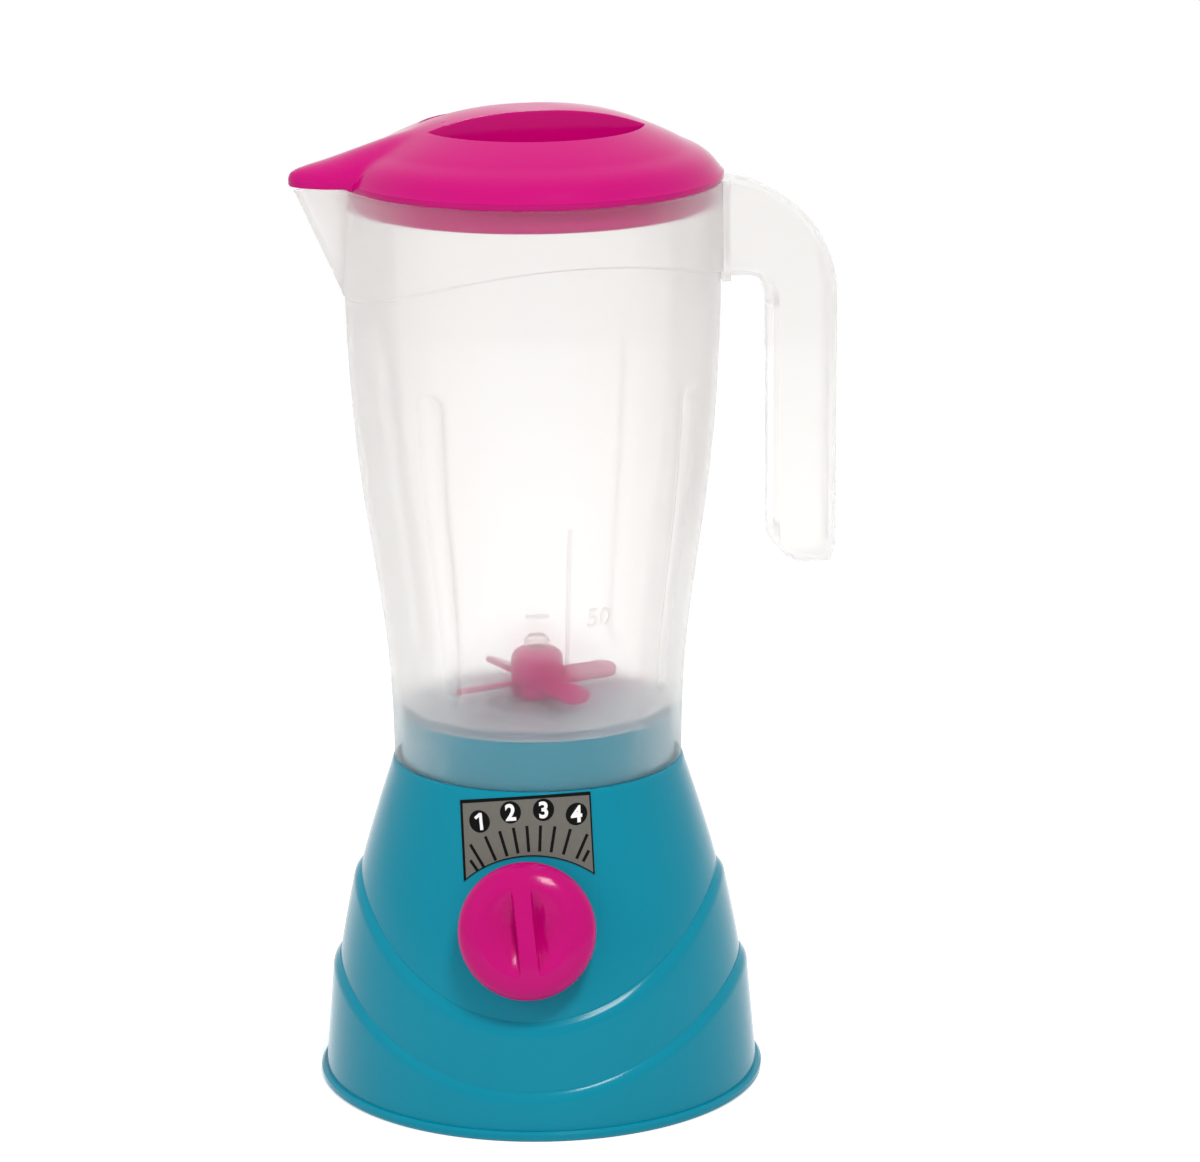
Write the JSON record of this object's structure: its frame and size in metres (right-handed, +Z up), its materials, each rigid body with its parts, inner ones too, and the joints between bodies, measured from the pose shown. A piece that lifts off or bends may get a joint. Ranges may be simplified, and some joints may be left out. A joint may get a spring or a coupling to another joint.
{
  "type": "toy blender",
  "caption": "Toy kitchen blender: stepped base with a turning dial knob, lift-off clear jug with hook handle, pouring beak, free-spinning blades and a lift-off lid.",
  "frame": {"origin": "centre of the flat underside that the base stands on", "axes": "+Z up along the base's axis, -Y towards the front, where the knob is, and +X to the right seen from the front, which is the handle's side"},
  "size_m": [0.1077, 0.0914, 0.2],
  "materials": {
    "base_plastic": "glossy moulded teal",
    "accent_plastic": "glossy moulded magenta",
    "clear_plastic": "milky translucent, smooth",
    "label": "satin printed label",
    "inner_plastic": "natural white moulded",
    "screw_steel": "zinc plated"
  },
  "bodies": {
    "base": {"base_housing": "base_plastic", "base_plate": "base_plastic", "base_screws": "screw_steel", "dial_label": "label", "click_spring": "inner_plastic"},
    "knob": {"control_knob": "accent_plastic", "click_wheel": "inner_plastic", "knob_screw": "screw_steel"},
    "jug": {"jug_shell": "clear_plastic", "jug_handle": "clear_plastic"},
    "rotor": {"blade_rotor": "accent_plastic"},
    "lid": {"lid": "accent_plastic"}
  },
  "joints": [
    {"name": "knob_turn", "type": "hinge", "parent": "base", "child": "knob", "pos_m": [0, -0.03699, 0.0414], "axis": [0, -0.9613, 0.2756], "continuous": true},
    {"name": "jug_lift", "type": "slide", "parent": "base", "child": "jug", "axis": [0, 0, 1], "range_m": [0, 0.04]},
    {"name": "rotor_spin", "type": "hinge", "parent": "jug", "child": "rotor", "pos_m": [0, 0, 0.0845], "axis": [0, 0, 1], "continuous": true},
    {"name": "lid_lift", "type": "slide", "parent": "jug", "child": "lid", "axis": [0, 0, 1], "range_m": [0, 0.03]}
  ]
}
